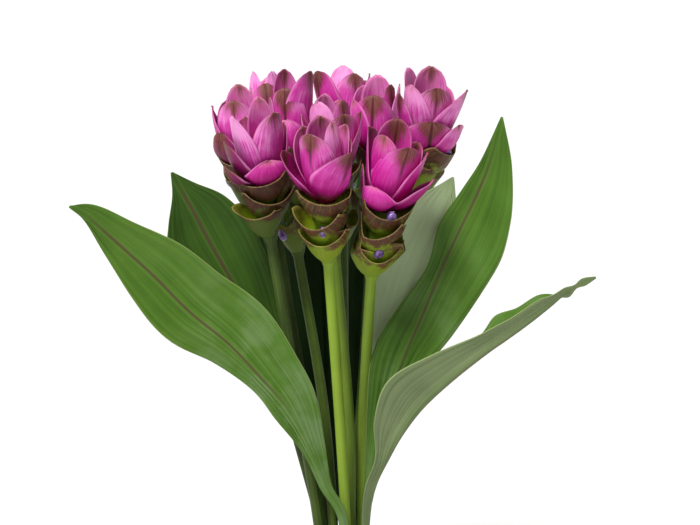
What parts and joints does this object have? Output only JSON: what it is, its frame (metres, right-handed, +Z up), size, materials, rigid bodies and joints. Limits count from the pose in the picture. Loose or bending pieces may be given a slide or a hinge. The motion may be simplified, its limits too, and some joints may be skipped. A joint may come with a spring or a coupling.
{
  "type": "potted siam tulip",
  "caption": "Potted siam tulip: upright pink cone flowers on green stems, with broad pointed leaves, in a plain tapered clay pot.",
  "frame": {"origin": "middle of the pot's flat underside, which stands on the surface", "axes": "+Z up along the pot's axis, -Y towards the side that the picture shows, +X to its right"},
  "size_m": [0.3778, 0.2656, 0.5136],
  "materials": {
    "clay": "unglazed terracotta, matt and faintly mottled",
    "soil": "dark crumbly potting mix",
    "stem": "satin yellow-green stems and pouch bracts with brown rims",
    "petal": "satin magenta-pink bracts with fine stripes and olive-brown tips",
    "leaf": "satin mid green with fine parallel veins and a maroon midrib",
    "floret": "soft violet with pale edges"
  },
  "bodies": {
    "root": {"pot": "clay", "soil": "soil", "stem_a": "stem", "stem_b": "stem", "stem_c": "stem", "stem_d": "stem", "stem_e": "stem", "stem_f": "stem", "stem_i": "stem", "stem_j": "stem", "stem_k": "stem", "stem_m": "stem", "bloom_a": "petal", "bloom_b": "petal", "bloom_c": "petal", "bloom_d": "petal", "bloom_e": "petal", "bloom_f": "petal", "bloom_i": "petal", "bloom_j": "petal", "bloom_k": "petal", "bloom_m": "petal", "leaf_front_left": "leaf", "leaf_back_left": "leaf", "leaf_right": "leaf", "leaf_right_front": "leaf", "leaf_back_right": "leaf", "leaf_back_outer": "leaf", "leaf_back": "leaf", "floret_a": "floret", "floret_b_upper": "floret", "floret_b_lower": "floret", "floret_d": "floret", "floret_e": "floret", "floret_f": "floret", "floret_i": "floret", "floret_k": "floret", "floret_m": "floret"}
  },
  "joints": []
}
